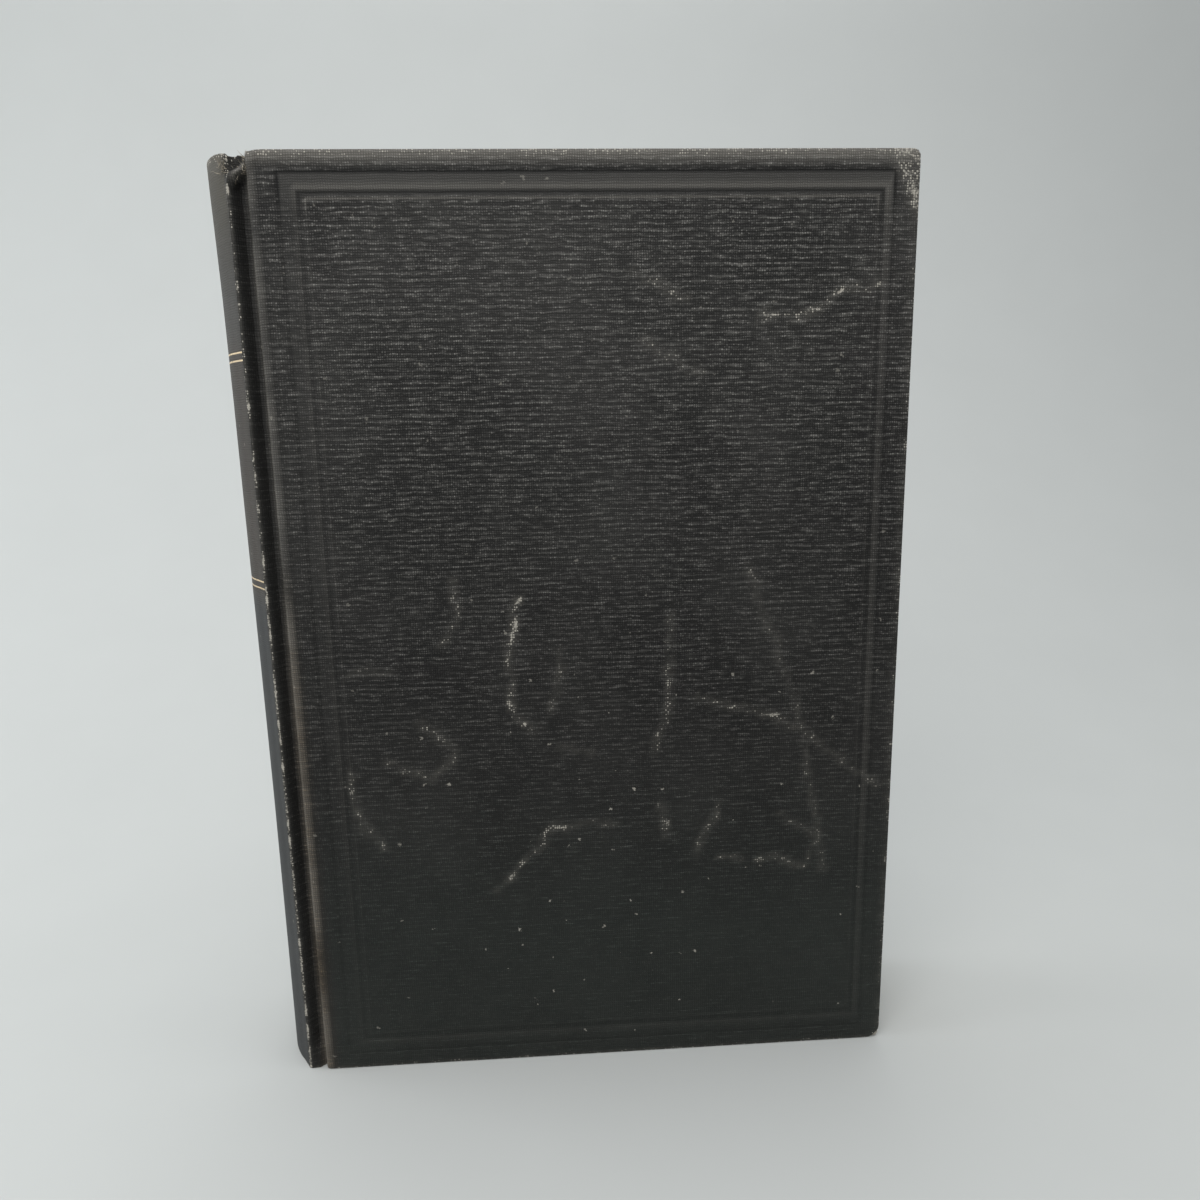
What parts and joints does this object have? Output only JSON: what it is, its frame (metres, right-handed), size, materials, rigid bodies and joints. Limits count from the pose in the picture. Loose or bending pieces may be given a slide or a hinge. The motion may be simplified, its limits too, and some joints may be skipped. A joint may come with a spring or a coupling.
{
  "type": "hardback book",
  "caption": "Old cloth-bound hardback book standing on its tail, with a rounded hollow spine, pressed joints, a blind line frame and covers that open.",
  "frame": {"origin": "centre of the book's bounding box, on the surface it stands on (tail edge of the covers)", "axes": "+Z from tail to head, +X from spine to fore-edge, +Y from front cover to back cover"},
  "size_m": [0.1686, 0.0376, 0.235],
  "materials": {
    "bookcloth": "black slubbed bookcloth, worn matt",
    "spine_bookcloth": "black slubbed bookcloth, rubbed to brown grey",
    "mull": "open starched cotton",
    "band_thread": "plain cotton bead on tape",
    "leaves": "aged cream book paper",
    "endpaper": "plain cream endpaper",
    "board": "dense grey binder's board",
    "spine_card": "brown card",
    "kraft": "brown kraft paper"
  },
  "bodies": {
    "book_block": {"text_block": "leaves", "front_flyleaf": "endpaper", "back_flyleaf": "endpaper", "spine_mull": "mull", "spine_lining": "kraft", "head_band": "band_thread", "tail_band": "band_thread", "spine_inlay": "spine_card", "spine_cloth": "spine_bookcloth"},
    "front_cover": {"front_board": "board", "front_cover_cloth": "bookcloth", "front_mull_flange": "mull", "front_pastedown": "endpaper"},
    "back_cover": {"back_board": "board", "back_cover_cloth": "bookcloth", "back_mull_flange": "mull", "back_pastedown": "endpaper"}
  },
  "joints": [
    {"name": "front_cover_hinge", "type": "hinge", "parent": "book_block", "child": "front_cover", "pos_m": [-0.07479, -0.0176, 0.1175], "axis": [0, 0, -1], "range_deg": [0, 178]},
    {"name": "back_cover_hinge", "type": "hinge", "parent": "book_block", "child": "back_cover", "pos_m": [-0.07479, 0.0176, 0.1175], "axis": [0, 0, 1], "range_deg": [0, 178]}
  ]
}
